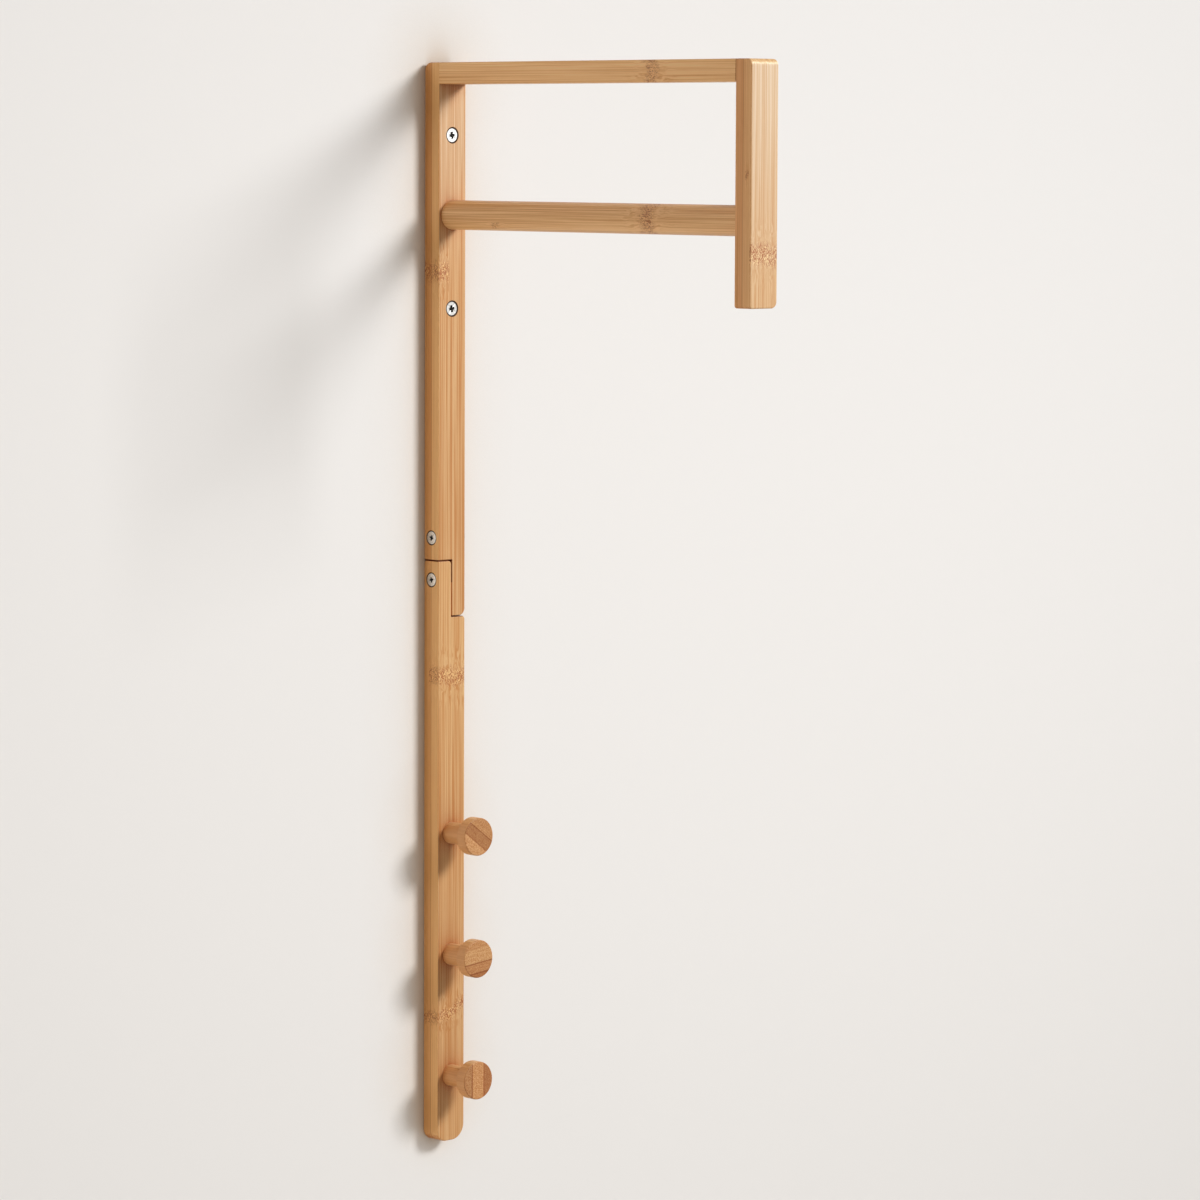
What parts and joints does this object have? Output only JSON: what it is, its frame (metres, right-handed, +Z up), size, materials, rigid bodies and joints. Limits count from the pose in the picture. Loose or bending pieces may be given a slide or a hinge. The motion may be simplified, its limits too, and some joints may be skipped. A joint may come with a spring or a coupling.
{
  "type": "wall coat rack",
  "caption": "Slim wall-mounted coat rack of laminated bamboo: an upright rail with a hanging arm and bar at the top and round pegs below.",
  "frame": {"origin": "on the wall, on the rail's middle line, midway between the two wall screws", "axes": "+X to the right along the wall for someone who faces it, +Y into the wall, +Z up along the rail"},
  "size_m": [0.0301, 0.3555, 0.7593],
  "materials": {
    "rail": "satin clear lacquer on laminated bamboo",
    "arm": "satin clear lacquer on laminated bamboo",
    "drop": "satin clear lacquer on laminated bamboo",
    "bar": "satin clear lacquer on laminated bamboo",
    "peg": "satin clear lacquer on laminated bamboo",
    "dowel": "bare hardwood",
    "zinc": "bright zinc plate",
    "nickel": "satin nickel plate",
    "hidden_steel": "yellow zinc plate"
  },
  "bodies": {
    "root": {"upper_rail": "rail", "lower_rail": "rail", "top_arm": "arm", "front_drop": "drop", "hanging_bar": "bar", "peg_lower": "peg", "peg_middle": "peg", "peg_upper": "peg", "wall_screws": "zinc", "cross_bolt": "nickel", "cap_nut": "nickel", "lap_screw": "nickel", "arm_screws": "hidden_steel", "bar_screw": "hidden_steel", "peg_screws": "hidden_steel", "arm_dowels": "dowel"}
  },
  "joints": []
}
